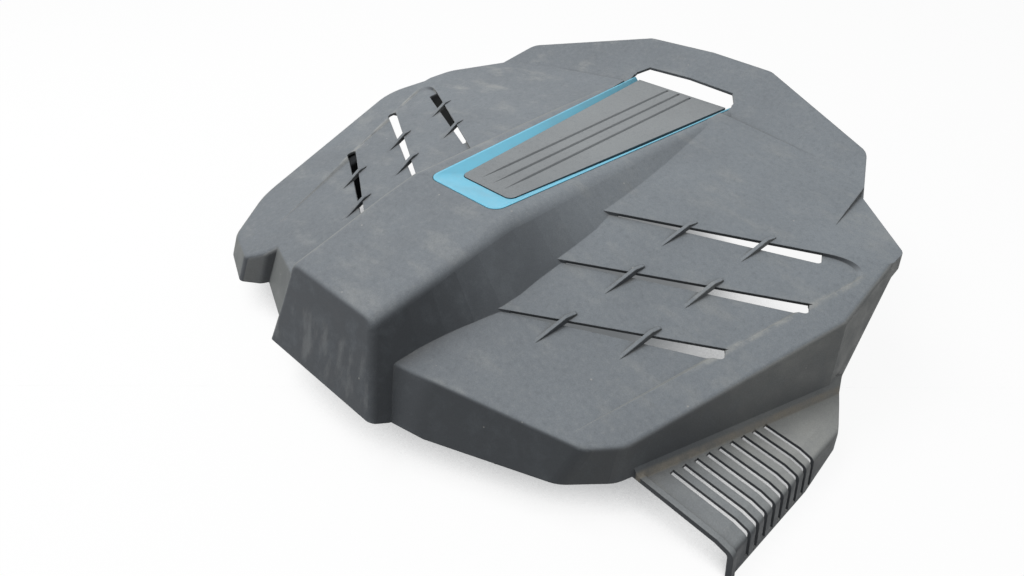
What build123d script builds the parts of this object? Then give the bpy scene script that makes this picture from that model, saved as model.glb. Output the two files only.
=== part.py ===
"""Engine cover: a thin moulded shell with louvred wings, a framed centre panel and rubber stud grommets.

Millimetres. +X is the right side seen from the front of the car, +Y runs to the rear, +Z is up.
The origin is midway between the two front stud sockets, on the plane of their mouths.
"""
import os
from math import cos, radians, sin, sqrt

from build123d import *

# Moulding
SKIN = 2.5
RIB_SINK = 1.0
RIM_Z = 5.0
REACH = 900.0
CUT_PAST = 1.0
DEEP = -120.0
EDGE_ROUND = 5.0
CORNER_ROUND = 26.0
LEFT_FRONT_ROUND = 60.0
LEFT_REAR_ROUND = 40.0
RIGHT_REAR_ROUND = 10.0
REAR_ROUND = 18.0
LOBE_ROUND = 9.0
PANEL_ROUND = 30.0
SPINE_FRONT_ROUND = 6.5

# Sloped surfaces: height over the origin, fall per mm outward, rise per mm rearward
WING = (77.5, 0.214, 0.261)
REAR_PANEL = (103.6, 0.111, 0.081)
CORNER_PANEL = (124.9, 0.111, 0.016)
BORDER = (-56.6, 0.041, 0.44)

# Walls: a point of the outer face at rim height, the heading it faces, its draft
FRONT_WALL = (143.0, -21.0, -68.5, 22.0)
CORNER_WALL = (234.0, 31.0, -43.1, 9.5)
RIGHT_WALL = (248.5, 64.5, -17.7, 4.0)
RIGHT_REAR_WALL = (304.0, 260.0, 0.0, 3.0)
RIGHT_CORNER_WALL = (275.0, 364.5, 50.0, 3.0)
CORNER_STEP_WALL = (242.3, 360.6, 6.8, 3.0)
LOBE_INNER_WALL = (-170.0, -13.1, -25.0, 1.0)
LOBE_FRONT_WALL = (-180.0, -23.0, -55.8, 11.0)
LOBE_SIDE_WALL = (-189.8, -31.4, -111.5, 21.0)
LEFT_FRONT_WALL = (-264.0, 14.8, -142.0, 16.0)
LEFT_WALL = (-312.0, 150.0, 192.8, 4.0)
LEFT_CORNER_WALL = (-314.0, 304.0, 135.0, 3.0)
PANEL_LEFT_WALL = (-297.8, 329.9, 170.0, 2.0)
PANEL_LEFT_SLANT_WALL = (-273.5, 370.6, 139.4, 2.0)
SPINE_FRONT_WALL = (0.0, -67.7, -90.0, 18.5)
REAR_RIGHT_WALL = (228.0, 412.0, 27.0, 1.0)
REAR_LEFT_WALL = (-248.0, 400.0, 155.0, 1.0)
REAR_RIGHT_SLANT_WALL = (148.5, 464.0, 69.0, 1.0)
REAR_LEFT_SLANT_WALL = (-150.0, 468.0, 111.0, 1.0)
REAR_WALL = (0.0, 492.5, 90.0, 1.0)

# Inner limit of the wings and rear limit of their bodies, both inside the spine or the rear border
WING_INNER_X = 60.0
WING_REAR_Y = 412.0
LOBE_INNER_X = -120.0
LOBE_REAR_Y = 120.0
PANEL_FRONT_LINE = (210.0, 0.30)
BORDER_FRONT_Y = 340.0

# Lower edge of the moulding, seen from the side: where it leaves the rim and how it climbs to the rear
RIM_END_Y = 262.0
RISE_END = (322.0, 80.0)
LEFT_RIM_END_Y = 222.0
LEFT_ARCH = ((245.0, 58.0), (296.0, 58.0))
LEFT_CORNER_FOOT = ((312.0, 22.0), (352.0, 22.0))
SKIRT_MID = (380.0, 93.0)
SKIRT_END = (500.0, 142.0)
SPINE_SILL = (-63.0, 19.0)
RIM_START_Y = -36.0

# Spine sections: y, half width of the top, its height, half width of the foot, its height, shoulder round
SPINE_TOP_Z = 128.0
SPINE_SECTIONS = (
    (-85.0, 54.0, 86.3, 79.0, 5.0, 12.0),
    (-30.0, 56.3, 98.6, 76.0, 14.0, 12.0),
    (64.0, 60.0, 119.5, 100.0, 62.0, 14.0),
    (102.0, 61.0, SPINE_TOP_Z, 102.0, 71.0, 17.0),
    (201.0, 63.0, SPINE_TOP_Z, 104.0, 98.0, 20.0),
    (436.0, 69.0, SPINE_TOP_Z, 92.0, 116.0, 12.0),
)
SPINE_STEP = 25.0

# Louvres: lines across the wing as y at the middle plane and y per mm outward
FRONT_LINE = (-57.0, 0.40)
SLOT_LINES = ((4.5, 0.626), (73.3, 0.606), (146.1, 0.56))
SLOT_INNER_X = 99.0
LEFT_SLOT_INNER_X = 110.0
SLOT_OUTER_X = (245.0, 270.0, 252.0)
LOUVRE_DROP = 3.0
LOUVRE_END = ((246.0, 156.0), (280.0, 262.0))
LOUVRE_END_LEAN = 62.0
LOUVRE_END_ROUND = 18.0
LIP_DEPTH = 3.2
SLOT_INNER_GAP = 1.0
LEFT_SLOT_INNER_GAP = 4.5
SLOT_OUTER_GAP = 10.5
SLOT_ROUND = 4.0
SLOT_PAST = 2.0
FIN_X = ((137.0, 194.5), (147.8, 203.5), (151.8, 210.3))
FIN_TURN = 11.0
FIN_WIDTH = 3.2
FIN_LENGTH = 31.0
FIN_LAP = 9.0
FIN_CREST = 1.0
FIN_PROUD = 0.6
FIN_ROOT = 0.4

# Centre pocket with the trim and the insert
POCKET_FRONT_Y = 103.0
POCKET_REAR_Y = 433.0
POCKET_FRONT_HALF = 44.0
POCKET_REAR_HALF = 65.5
POCKET_DEPTH = 9.0
POCKET_ROUND = 12.0
POCKET_GAP = 0.5
WINDOW_REAR_Y = 448.0
WINDOW_REAR_HALF = 55.0
WINDOW_LAP = 1.0
WINDOW_SIDE_LENGTH = 4.0
TRIM_PROUD = 0.4
TRIM_RIM = 2.0
INSERT_FRONT_Y = 133.0
INSERT_FRONT_HALF = 31.8
INSERT_REAR_HALF = 57.7
INSERT_ROUND = 7.0
INSERT_FRONT_SINK = 5.2
INSERT_REAR_SINK = 2.0
INSERT_PROUD = 0.8
GROOVE_X = (-15.0, 0.0, 15.0)
GROOVE_WIDTH = 3.4
GROOVE_DEPTH = 1.8
GROOVE_RIM = 1.0
GROOVE_START_Y = 143.0
GROOVE_RUN_IN = 30.0
GROOVE_TIP_SHARE = 0.1
GROOVE_END_MARGIN = 4.0
TAB_WIDTH = 4.0
TAB_LENGTH = 7.0
TAB_FRONT_X = 22.0
TRIM_TAB_Y = (210.0, 320.0, 415.0)
INSERT_TAB_Y = (165.0, 385.0)
TAB_GAP = 0.3
TAB_PAST = 2.0
TAB_ROOT = 1.0

# Flange on the right with its bent slots
FLANGE_SKIN = 2.8
FLANGE_LAP = 1.0
FLANGE_ROOT_HEIGHT = 6.5
FLANGE_ROOT_WIDTH = 4.5
FLANGE_FALL = 0.112
FLANGE_BEND_X = 317.5
FLANGE_EDGE_FALL = 0.32
FLANGE_WALL = (329.5, 120.0, 0.0, 5.4)
FLANGE_FRONT = (290.0, 52.0, -90.0, 0.0)
FLANGE_REAR = (317.5, 233.0, 27.5, 0.0)
FLANGE_FOOT_Z = -32.0
FLANGE_FOOT_END_Y = 163.0
FLANGE_CLIMB_END = (207.0, -17.2)
FLANGE_ROUND = 3.0
BEAD_WIDTH = 5.0
BEAD_HEIGHT = 2.0
GRILLE_COUNT = 9
GRILLE_PITCH = 11.4
GRILLE_FIRST_Y = 76.0
GRILLE_WIDTH = 4.6
GRILLE_START = (241.4, 0.27)
GRILLE_FOOT_Z = -29.5

# Stud sockets and grommets
FRONT_STUD = (150.0, 0.0, 0.0)
REAR_STUD = (150.0, 366.0, 66.0)
GROMMET_BORE = 5.0
GROMMET_NECK = 6.7
GROMMET_HEAD = 9.0
GROMMET_HEAD_HEIGHT = 6.0
GROMMET_LIP = 12.0
GROMMET_LIP_HEIGHT = 3.0
GROMMET_GAP = 0.3
SOCKET_FLOOR = 3.0
SOCKET_ROOM = 0.8
SOCKET_WALL = 2.6
GUSSET_REACH = 28.0
GUSSET_DEPTH = 24.0
GUSSET_WIDTH = 2.2

# Ribs across the inside of the spine
RIB_Y = (20.0, 75.0, 190.0, 300.0, 400.0)
RIB_HALF = 52.0
RIB_WIDTH = 2.0
RIB_DEPTH = 12.0


def slope(z, fall, rise, side=1):
    """Plane with the given height at the origin, falling outward on one side and rising rearward."""
    return Plane((0, 0, z), z_dir=(side * fall, -rise, 1))


def height(surface, x, y):
    return surface[0] - surface[1] * abs(x) + surface[2] * y


def facing(x, y, heading, draft):
    """Plane through a rim point that faces a heading and leans in by its draft."""
    level = cos(radians(draft))
    turn = radians(heading)
    return Plane((x, y, RIM_Z), z_dir=(cos(turn) * level, sin(turn) * level, sin(radians(draft))))


def mirrored(place):
    x, y, heading, draft = place
    return -x, y, 180.0 - heading, draft


def bounded(block, planes, inset):
    """Block trimmed to the back of every plane, each moved in by the inset."""
    for plane in planes:
        block = split(block, bisect_by=plane.offset(-inset), keep=Keep.BOTTOM)
    return block


def lies_on(plane, edge):
    return all(abs(plane.to_local_coords(edge @ t).Z) < 0.01 for t in (0.0, 0.5, 1.0))


def block_between(x0, x1, y0, y1, z0, z1):
    return Pos((x0 + x1) / 2, (y0 + y1) / 2, (z0 + z1) / 2) * Box(x1 - x0, y1 - y0, z1 - z0)


def side_profile(*points):
    """Face in the YZ plane, its normal along +X."""
    return Plane.YZ * make_face(Polyline(*points, close=True))


def flat(*points):
    return make_face(Polyline(*points, close=True))


def rounded_top(body, inset, side):
    """Round the edges where the wing's top meets its walls."""
    top = slope(*WING, side).offset(-inset)
    rear = slope(*REAR_PANEL, side).offset(-inset)
    cut_x = (WING_INNER_X, -WING_INNER_X, LOBE_INNER_X)
    edges = [e for e in body.edges() if lies_on(top, e) and not lies_on(rear, e)]
    edges = [e for e in edges if all(abs(e.center().X - x) > 0.01 for x in cut_x)]
    edges = [e for e in edges if abs(e.center().Y - LOBE_REAR_Y) > 0.01]
    return fillet(edges, EDGE_ROUND - inset)


def rounded_corner(body, inset, first, second, radius):
    """Round the upright edge between two walls."""
    first, second = facing(*first).offset(-inset), facing(*second).offset(-inset)
    return fillet([e for e in body.edges() if lies_on(first, e) and lies_on(second, e)], radius - inset)


def right_wing(inset):
    walls = [FRONT_WALL, CORNER_WALL, RIGHT_WALL, RIGHT_REAR_WALL, RIGHT_CORNER_WALL]
    tops = [WING, REAR_PANEL, CORNER_PANEL]
    planes = [slope(*t) for t in tops] + [facing(*w) for w in walls]
    body = bounded(block_between(WING_INNER_X, REACH, -REACH, WING_REAR_Y, DEEP, REACH), planes, inset)
    body = rounded_corner(body, inset, FRONT_WALL, CORNER_WALL, CORNER_ROUND)
    body = rounded_corner(body, inset, CORNER_WALL, RIGHT_WALL, CORNER_ROUND)
    body = rounded_corner(body, inset, RIGHT_REAR_WALL, RIGHT_CORNER_WALL, RIGHT_REAR_ROUND)
    return rounded_top(body, inset, 1)


def left_wing(inset):
    walls = [mirrored(FRONT_WALL), mirrored(CORNER_WALL), LEFT_WALL, LEFT_CORNER_WALL]
    planes = [slope(*WING, -1), slope(*REAR_PANEL, -1)] + [facing(*w) for w in walls]
    body = bounded(block_between(-REACH, -WING_INNER_X, -REACH, WING_REAR_Y, DEEP, REACH), planes, inset)
    body = rounded_corner(body, inset, LEFT_WALL, LEFT_CORNER_WALL, LEFT_REAR_ROUND)
    body = rounded_top(body, inset, -1)
    walls = [LOBE_INNER_WALL, LOBE_FRONT_WALL, LOBE_SIDE_WALL, LEFT_FRONT_WALL, LEFT_WALL]
    lobe = block_between(-REACH, LOBE_INNER_X, -REACH, LOBE_REAR_Y, DEEP, REACH)
    lobe = bounded(lobe, [slope(*WING, -1)] + [facing(*w) for w in walls], inset)
    lobe = rounded_corner(lobe, inset, LOBE_INNER_WALL, LOBE_FRONT_WALL, LOBE_ROUND)
    lobe = rounded_corner(lobe, inset, LOBE_FRONT_WALL, LOBE_SIDE_WALL, LOBE_ROUND)
    lobe = rounded_corner(lobe, inset, LOBE_SIDE_WALL, LEFT_FRONT_WALL, CORNER_ROUND)
    lobe = rounded_corner(lobe, inset, LEFT_FRONT_WALL, LEFT_WALL, LEFT_FRONT_ROUND)
    return body + rounded_top(lobe, inset, -1)


def spine_section(y):
    """Values of the section at y: its top runs straight between the given ones, its foot on curves."""
    rows = SPINE_SECTIONS
    index = max(i for i in range(len(rows) - 1) if i == 0 or rows[i][0] <= y)
    share = (y - rows[index][0]) / (rows[index + 1][0] - rows[index][0])
    straight = [a + (b - a) * share for a, b in zip(rows[index], rows[index + 1])]
    return straight[:3] + [smooth_value(column, index, share) for column in (3, 4, 5)]


def smooth_value(column, index, share):
    """Cubic through the sections' values whose slope at a section is the mean of both sides."""
    rows = SPINE_SECTIONS

    def slope_at(i):
        a, b = rows[max(i - 1, 0)], rows[min(i + 1, len(rows) - 1)]
        return (b[column] - a[column]) / (b[0] - a[0])

    near, far = rows[index], rows[index + 1]
    width = far[0] - near[0]
    rest = 1 - share
    value = rest * rest * (1 + 2 * share) * near[column] + share * share * (3 - 2 * share) * far[column]
    return value + width * share * rest * (rest * slope_at(index) - share * slope_at(index + 1))


def spine_stations():
    """Places of the sections: the given ones, with even steps between those behind the front."""
    places = [row[0] for row in SPINE_SECTIONS]
    stations = []
    for front, rear in zip(places[1:], places[2:]):
        count = max(1, round((rear - front) / SPINE_STEP))
        stations += [front + (rear - front) * i / count for i in range(count)]
    return places[:1] + stations + places[-1:]


def spine(inset):
    faces = []
    for y in spine_stations():
        _, half_top, top_z, half_foot, foot_z, shoulder = spine_section(y)
        outline = flat((-half_foot, DEEP), (-half_foot, foot_z), (-half_top, top_z),
                       (half_top, top_z), (half_foot, foot_z), (half_foot, DEEP))
        outline = fillet([v for v in outline.vertices() if abs(v.Y - top_z) < 0.01], shoulder)
        if inset:
            outline = offset(outline, amount=-inset, kind=Kind.INTERSECTION)
        faces.append(Plane((0, y, 0), x_dir=(1, 0, 0), z_dir=(0, -1, 0)) * outline)
    front = facing(*SPINE_FRONT_WALL)
    body = bounded(loft(faces, ruled=True), [front], inset)
    edges = [e for e in body.edges() if lies_on(front.offset(-inset), e) and e.center().Z > DEEP + SKIN]
    return fillet(edges, SPINE_FRONT_ROUND - inset)


def rear_panel(inset, side, walls):
    """Panel that runs from a wing up to the rear border."""
    low, high = sorted((side * WING_INNER_X, side * REACH))
    start, k = PANEL_FRONT_LINE
    planes = [slope(*WING, side), slope(*REAR_PANEL, side)] + [facing(*w) for w in walls]
    panel = bounded(block_between(low, high, start, WING_REAR_Y, DEEP, REACH), planes, inset)
    front = Plane((0, start, 0), z_dir=(-k * side, 1, 0))
    return split(panel, bisect_by=front.offset(inset), keep=Keep.TOP)


def rear_border(inset):
    """Rising border at the rear."""
    halves = []
    right, left = (1, REAR_RIGHT_WALL, REAR_RIGHT_SLANT_WALL), (-1, REAR_LEFT_WALL, REAR_LEFT_SLANT_WALL)
    for side, side_wall, slant in (right, left):
        low, high = sorted((0, side * REACH))
        half = block_between(low, high, BORDER_FRONT_Y, REACH, DEEP, REACH)
        walls = [facing(*w) for w in (side_wall, slant, REAR_WALL)]
        half = bounded(half, [slope(*BORDER, side)] + walls, inset)
        half = rounded_corner(half, inset, side_wall, slant, REAR_ROUND)
        halves.append(rounded_corner(half, inset, slant, REAR_WALL, REAR_ROUND))
    return halves[0] + halves[1]


def across(line, x):
    return line[0] + line[1] * x


def louvre_panel(index):
    """Plane of the panel in front of a slot: on the wing at its front line, dropped at the slot."""
    front = SLOT_LINES[index - 1] if index else FRONT_LINE
    near, far, mid = SLOT_INNER_X, SLOT_OUTER_X[index], (SLOT_INNER_X + SLOT_OUTER_X[index]) / 2
    a = Vector(near, across(front, near), height(WING, near, across(front, near)))
    b = Vector(far, across(front, far), height(WING, far, across(front, far)))
    y = across(SLOT_LINES[index], mid)
    c = Vector(mid, y, height(WING, mid, y) - LOUVRE_DROP)
    return Plane(a, x_dir=b - a, z_dir=(b - a).cross(c - a))


def louvre_end():
    """Plane at the outer end of the louvres, leaning outward from a line on the wing."""
    a, b = [Vector(x, y, height(WING, x, y)) for x, y in LOUVRE_END]
    along = (b - a).normalized()
    lean = radians(LOUVRE_END_LEAN)
    outward = along.cross(Vector(0, 0, 1)).normalized()
    return Plane(a, x_dir=along, z_dir=outward * cos(lean) - along.cross(-outward) * sin(lean))


def louvre_cut(index, inset):
    """Wedge over a dropped panel on the right wing, open upward."""
    k = SLOT_LINES[index][1]
    step = Plane((0, SLOT_LINES[index][0], 0), z_dir=(-k, 1, 0))
    end = louvre_end()
    block = block_between(WING_INNER_X, REACH, -REACH, REACH, DEEP, REACH)
    block = split(block, bisect_by=louvre_panel(index).offset(-inset), keep=Keep.TOP)
    block = bounded(block, [step, end], -inset)
    if index == len(SLOT_LINES) - 1:
        corner = [e for e in block.edges()
                  if lies_on(step.offset(inset), e) and lies_on(end.offset(inset), e)]
        block = fillet(corner, LOUVRE_END_ROUND + inset)
    return block


def slot_cut(index, inner_x, inner_gap):
    """Opening in front of a lip that widens outward, with the wall under the lip cut away too."""
    start, k = SLOT_LINES[index]
    rise = -WING[1] + WING[2] * k
    stretch = sqrt(1 + k * k + rise * rise)
    plane = Plane((0, start, height(WING, 0, start)), x_dir=(1, k, rise), z_dir=(WING[1], -WING[2], 1))
    x0, x1 = inner_x * stretch, SLOT_OUTER_X[index] * stretch
    outline = flat((x0, -inner_gap), (x1, -SLOT_OUTER_GAP), (x1, 0), (x0, 0))
    outline = fillet([v for v in outline.vertices() if v.X > x1 - SLOT_ROUND and v.Y < -SKIN], SLOT_ROUND)
    bottom = -LOUVRE_DROP - 3 * SKIN
    opening = Pos(0, 0, bottom) * extrude(outline, amount=CUT_PAST - bottom)
    opening += block_between(x0, x1, -inner_gap, SKIN + SLOT_PAST, bottom, -LIP_DEPTH)
    return plane * opening


def fin(index, x):
    """Gusset over a slot, wedge-shaped, from the panel in front to the surface behind."""
    panel = louvre_panel(index)
    normal = panel.z_dir
    lip = across(SLOT_LINES[index], x)
    turn = radians(FIN_TURN)

    def at(t, z_of, lift):
        x_t, y_t = x + t * sin(turn), lip + t * cos(turn)
        return t, z_of(x_t, y_t) + lift

    def panel_z(x_t, y_t):
        away = normal.X * (x_t - panel.origin.X) + normal.Y * (y_t - panel.origin.Y)
        return panel.origin.Z - away / normal.Z

    def top_z(x_t, y_t):
        return min(height(WING, x_t, y_t), height(REAR_PANEL, x_t, y_t))

    profile = side_profile(
        at(-FIN_LENGTH, panel_z, -FIN_ROOT), at(FIN_CREST, top_z, FIN_PROUD), at(FIN_LAP, top_z, -FIN_ROOT),
        at(SKIN, top_z, FIN_ROOT - LIP_DEPTH), at(-SLOT_OUTER_GAP - SKIN, panel_z, -SKIN / 2))
    return Pos(x, lip, 0) * Rot(0, 0, -FIN_TURN) * extrude(profile, amount=FIN_WIDTH / 2, both=True)


def pocket_outline(grow, rear_y):
    taper = (POCKET_REAR_HALF - POCKET_FRONT_HALF) / (POCKET_REAR_Y - POCKET_FRONT_Y)
    rear_half = POCKET_FRONT_HALF + taper * (rear_y - POCKET_FRONT_Y) + grow
    front_half = POCKET_FRONT_HALF + grow
    front_y = POCKET_FRONT_Y - grow
    face = flat((-rear_half, rear_y), (-front_half, front_y), (front_half, front_y), (rear_half, rear_y))
    corners = [v for v in face.vertices() if abs(v.Y - front_y) < 0.01]
    return fillet(corners, POCKET_ROUND + grow)


def pocket(grow):
    floor = SPINE_TOP_Z - POCKET_DEPTH - grow
    return Pos(0, 0, floor) * extrude(pocket_outline(grow, POCKET_REAR_Y), amount=REACH)


def window():
    """Opening behind the centre panel."""
    half = POCKET_REAR_HALF - WINDOW_LAP
    front, side = POCKET_REAR_Y - WINDOW_LAP, POCKET_REAR_Y + WINDOW_SIDE_LENGTH
    face = flat((-half, front), (half, front), (half, side), (WINDOW_REAR_HALF, WINDOW_REAR_Y),
                (-WINDOW_REAR_HALF, WINDOW_REAR_Y), (-half, side))
    return Pos(0, 0, SPINE_SECTIONS[0][2]) * extrude(face, amount=REACH)


def form(inset):
    """Solid form of the cover, moved in by the inset."""
    cuts = [louvre_cut(i, inset) for i in range(len(SLOT_LINES))]
    right = right_wing(inset) + rear_panel(inset, 1, (REAR_RIGHT_WALL, CORNER_STEP_WALL))
    panel = rear_panel(inset, -1, (PANEL_LEFT_WALL, PANEL_LEFT_SLANT_WALL))
    panel = rounded_corner(panel, inset, PANEL_LEFT_WALL, PANEL_LEFT_SLANT_WALL, PANEL_ROUND)
    left = left_wing(inset) + panel
    for cut in cuts:
        right -= cut
        left -= mirror(cut, about=Plane.YZ)
    body = right + left + rear_border(inset) + spine(inset)
    return body - pocket(inset)


def below_edge(*climb):
    """Face below the lower edge of the moulding, which climbs from the rim through the given points."""
    return side_profile((-REACH, SPINE_SILL[1]), SPINE_SILL, (RIM_START_Y, RIM_Z), *climb, SKIRT_MID,
                        SKIRT_END, (REACH, SKIRT_END[1]), (REACH, 2 * DEEP), (-REACH, 2 * DEEP))


def under_cut():
    """Everything below the lower edge: a plain rise on the right, an arch and a low corner on the left."""
    right = below_edge((RIM_END_Y, RIM_Z), RISE_END)
    left = below_edge((LEFT_RIM_END_Y, RIM_Z), *LEFT_ARCH, *LEFT_CORNER_FOOT)
    return extrude(right, amount=REACH) + extrude(left, amount=-REACH)


def flange_form(inset):
    """Body under the flange's plate, its bent edge and its outer wall."""
    x, y, heading, _ = RIGHT_WALL
    turn = radians(heading)
    plate = Plane((x, y, RIM_Z + FLANGE_LAP), z_dir=(FLANGE_FALL * cos(turn), FLANGE_FALL * sin(turn), 1))
    bend_z = RIM_Z + FLANGE_LAP - FLANGE_FALL * (cos(turn) * (FLANGE_BEND_X - x) - sin(turn) * y)
    edge = Plane((FLANGE_BEND_X, 0, bend_z), z_dir=(FLANGE_EDGE_FALL, FLANGE_FALL * sin(turn), 1))
    outer = facing(*FLANGE_WALL)
    block = block_between(WING_INNER_X, REACH, -REACH, REACH, DEEP, REACH)
    block = bounded(block, [plate, edge, outer], inset)
    edge, outer = edge.offset(-inset), outer.offset(-inset)
    corner = [e for e in block.edges() if lies_on(edge, e) and lies_on(outer, e)]
    return fillet(corner, FLANGE_ROUND + FLANGE_SKIN - inset)


def flange_root():
    """Sloped strip that joins the plate of the flange to the wing's wall."""
    x, y, heading, _ = RIGHT_WALL
    turn = radians(heading)
    plate_z = RIM_Z + FLANGE_LAP
    out = (FLANGE_ROOT_HEIGHT * cos(turn), FLANGE_ROOT_HEIGHT * sin(turn), FLANGE_ROOT_WIDTH)
    strip = block_between(WING_INNER_X, REACH, -REACH, REACH, plate_z - FLANGE_SKIN / 2, REACH)
    return bounded(strip, [Plane((x, y, plate_z + FLANGE_ROOT_HEIGHT), z_dir=out)], 0)


def flange():
    plate = flange_form(0) - flange_form(FLANGE_SKIN) + flange_root()
    bead = flange_form(-BEAD_HEIGHT) - flange_form(FLANGE_SKIN / 2)
    front = FLANGE_FRONT[1]
    bead &= block_between(-REACH, REACH, front, front + BEAD_WIDTH, DEEP, REACH)
    body = bounded(plate + bead, [facing(*FLANGE_FRONT), facing(*FLANGE_REAR)], 0)
    body = split(body, bisect_by=facing(*RIGHT_WALL).offset(-SKIN), keep=Keep.TOP)
    foot = side_profile((-REACH, FLANGE_FOOT_Z), (FLANGE_FOOT_END_Y, FLANGE_FOOT_Z), FLANGE_CLIMB_END,
                        (REACH, FLANGE_CLIMB_END[1]), (REACH, 2 * DEEP), (-REACH, 2 * DEEP))
    body -= extrude(foot, amount=REACH)
    for index in range(GRILLE_COUNT):
        y = GRILLE_FIRST_Y + index * GRILLE_PITCH
        start = across(GRILLE_START, y)
        body -= block_between(start, REACH, y - GRILLE_WIDTH / 2, y + GRILLE_WIDTH / 2, GRILLE_FOOT_Z, REACH)
    return body


def rod(x, y, z0, z1, radius):
    return Pos(x, y, (z0 + z1) / 2) * Cylinder(radius, z1 - z0)


def socket(x, y, mouth, middle, inner):
    """Square post from a stud grommet up to the skin, hollow, with a holed floor and four gussets."""
    floor = mouth + GROMMET_LIP_HEIGHT + GROMMET_GAP
    bore = GROMMET_HEAD + SOCKET_ROOM
    half_post = bore + SOCKET_WALL
    roof = SPINE_TOP_Z

    def post(half, foot):
        return block_between(x - half, x + half, y - half, y + half, foot, roof)

    reach, half = GUSSET_REACH, GUSSET_WIDTH / 2
    cross = block_between(x - reach, x + reach, y - half, y + half, floor, roof)
    cross += block_between(x - half, x + half, y - reach, y + reach, floor, roof)
    top = max(v.Z for v in (post(half_post, floor) & middle).vertices())
    flare = Pos(x, y, top - GUSSET_DEPTH / 2) * Cone(half_post, GUSSET_REACH, GUSSET_DEPTH)
    body = (post(half_post, floor) + (cross & flare)) & middle
    body -= post(bore, floor + SOCKET_FLOOR) & inner
    return body - rod(x, y, floor - CUT_PAST, roof, GROMMET_NECK + GROMMET_GAP)


def ribs(middle):
    body = None
    for y in RIB_Y:
        roof = SPINE_TOP_Z - POCKET_DEPTH
        if y < POCKET_FRONT_Y:
            front, rear = SPINE_SECTIONS[1], SPINE_SECTIONS[3]
            roof = front[2] + (rear[2] - front[2]) * (y - front[0]) / (rear[0] - front[0])
        foot, half = roof - SKIN - RIB_DEPTH, RIB_WIDTH / 2
        rib = block_between(-RIB_HALF, RIB_HALF, y - half, y + half, foot, roof + SKIN) & middle
        body = rib if body is None else body + rib
    return body


def stud_places():
    for name, (x, y, z) in (("front", FRONT_STUD), ("rear", REAR_STUD)):
        yield "grommet_" + name + "_left", -x, y, z
        yield "grommet_" + name + "_right", x, y, z


def grommet(x, y, mouth):
    """Rubber ring with a groove that takes the socket's floor, bored for a ball stud."""
    lip = mouth + GROMMET_LIP_HEIGHT
    head = lip + SOCKET_FLOOR + 2 * GROMMET_GAP
    body = rod(x, y, mouth, lip, GROMMET_LIP) + rod(x, y, lip, head, GROMMET_NECK)
    body += Pos(x, y, head + GROMMET_HEAD_HEIGHT / 2) * Cone(GROMMET_HEAD, GROMMET_NECK, GROMMET_HEAD_HEIGHT)
    return body - rod(x, y, mouth - CUT_PAST, head + GROMMET_HEAD_HEIGHT + CUT_PAST, GROMMET_BORE)


def insert_outline(grow):
    front, rear = INSERT_FRONT_HALF + grow, INSERT_REAR_HALF + grow
    y = INSERT_FRONT_Y - grow
    face = flat((-rear, POCKET_REAR_Y), (-front, y), (front, y), (rear, POCKET_REAR_Y))
    return fillet([v for v in face.vertices() if abs(v.Y - y) < 0.01], INSERT_ROUND + grow)


def insert_top(lift):
    """Tilted plane of the insert's top, lower at its front."""
    front = SPINE_TOP_Z - INSERT_FRONT_SINK + lift
    rise = (INSERT_FRONT_SINK - INSERT_REAR_SINK) / (POCKET_REAR_Y - INSERT_FRONT_Y)
    return Plane((0, INSERT_FRONT_Y, front), x_dir=(1, 0, 0), z_dir=(0, -rise, 1))


def tab(x, y, grow):
    """Snap tab through the floor of the pocket, or its hole where it grows by the clearance."""
    floor = SPINE_TOP_Z - POCKET_DEPTH
    wide, long = TAB_WIDTH / 2 + grow, TAB_LENGTH / 2 + grow
    tip = floor - SKIN - TAB_PAST - grow
    return block_between(x - wide, x + wide, y - long, y + long, tip, floor + TAB_ROOT)


def limb_middle(y):
    share = (y - POCKET_FRONT_Y) / (POCKET_REAR_Y - POCKET_FRONT_Y)
    outer = POCKET_FRONT_HALF + (POCKET_REAR_HALF - POCKET_FRONT_HALF) * share
    share = (y - INSERT_FRONT_Y) / (POCKET_REAR_Y - INSERT_FRONT_Y)
    inner = INSERT_FRONT_HALF + (INSERT_REAR_HALF - INSERT_FRONT_HALF) * share
    return (outer + inner) / 2


def trim_tab_places():
    places = [(side * TAB_FRONT_X, (POCKET_FRONT_Y + INSERT_FRONT_Y) / 2) for side in (-1, 1)]
    return places + [(side * limb_middle(y), y) for y in TRIM_TAB_Y for side in (-1, 1)]


def insert_tab_places():
    return [(side * TAB_FRONT_X, y) for y in INSERT_TAB_Y for side in (-1, 1)]


def trim_bezel():
    """Frame in the pocket: a flat rim that dishes down to the insert."""
    floor = SPINE_TOP_Z - POCKET_DEPTH
    outer = pocket_outline(-POCKET_GAP, POCKET_REAR_Y)
    body = Pos(0, 0, floor) * extrude(outer, amount=POCKET_DEPTH + TRIM_PROUD)
    low = insert_outline(POCKET_GAP)
    body -= Pos(0, 0, floor) * extrude(low, amount=REACH)
    rim = pocket_outline(-POCKET_GAP - TRIM_RIM, POCKET_REAR_Y)
    level = SPINE_TOP_Z - INSERT_FRONT_SINK
    body -= loft([Pos(0, 0, SPINE_TOP_Z + TRIM_PROUD) * rim, Pos(0, 0, level) * low], ruled=True)
    for x, y in trim_tab_places():
        body += tab(x, y, 0)
    return body


def groove():
    """V-shaped cut along the insert that deepens over its run-in, in the frame of the insert's top."""
    sections = []
    run = GROOVE_START_Y - INSERT_FRONT_Y
    end = POCKET_REAR_Y - GROOVE_END_MARGIN - INSERT_FRONT_Y
    for along, share in ((run, GROOVE_TIP_SHARE), (run + GROOVE_RUN_IN, 1), (end, 1)):
        half, deep = share * GROOVE_WIDTH / 2, share * GROOVE_DEPTH
        outline = flat((-half, GROOVE_RIM), (-half, 0), (0, -deep), (half, 0), (half, GROOVE_RIM))
        sections.append(Plane((0, along, 0), x_dir=(1, 0, 0), z_dir=(0, -1, 0)) * outline)
    return loft(sections, ruled=True)


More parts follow.
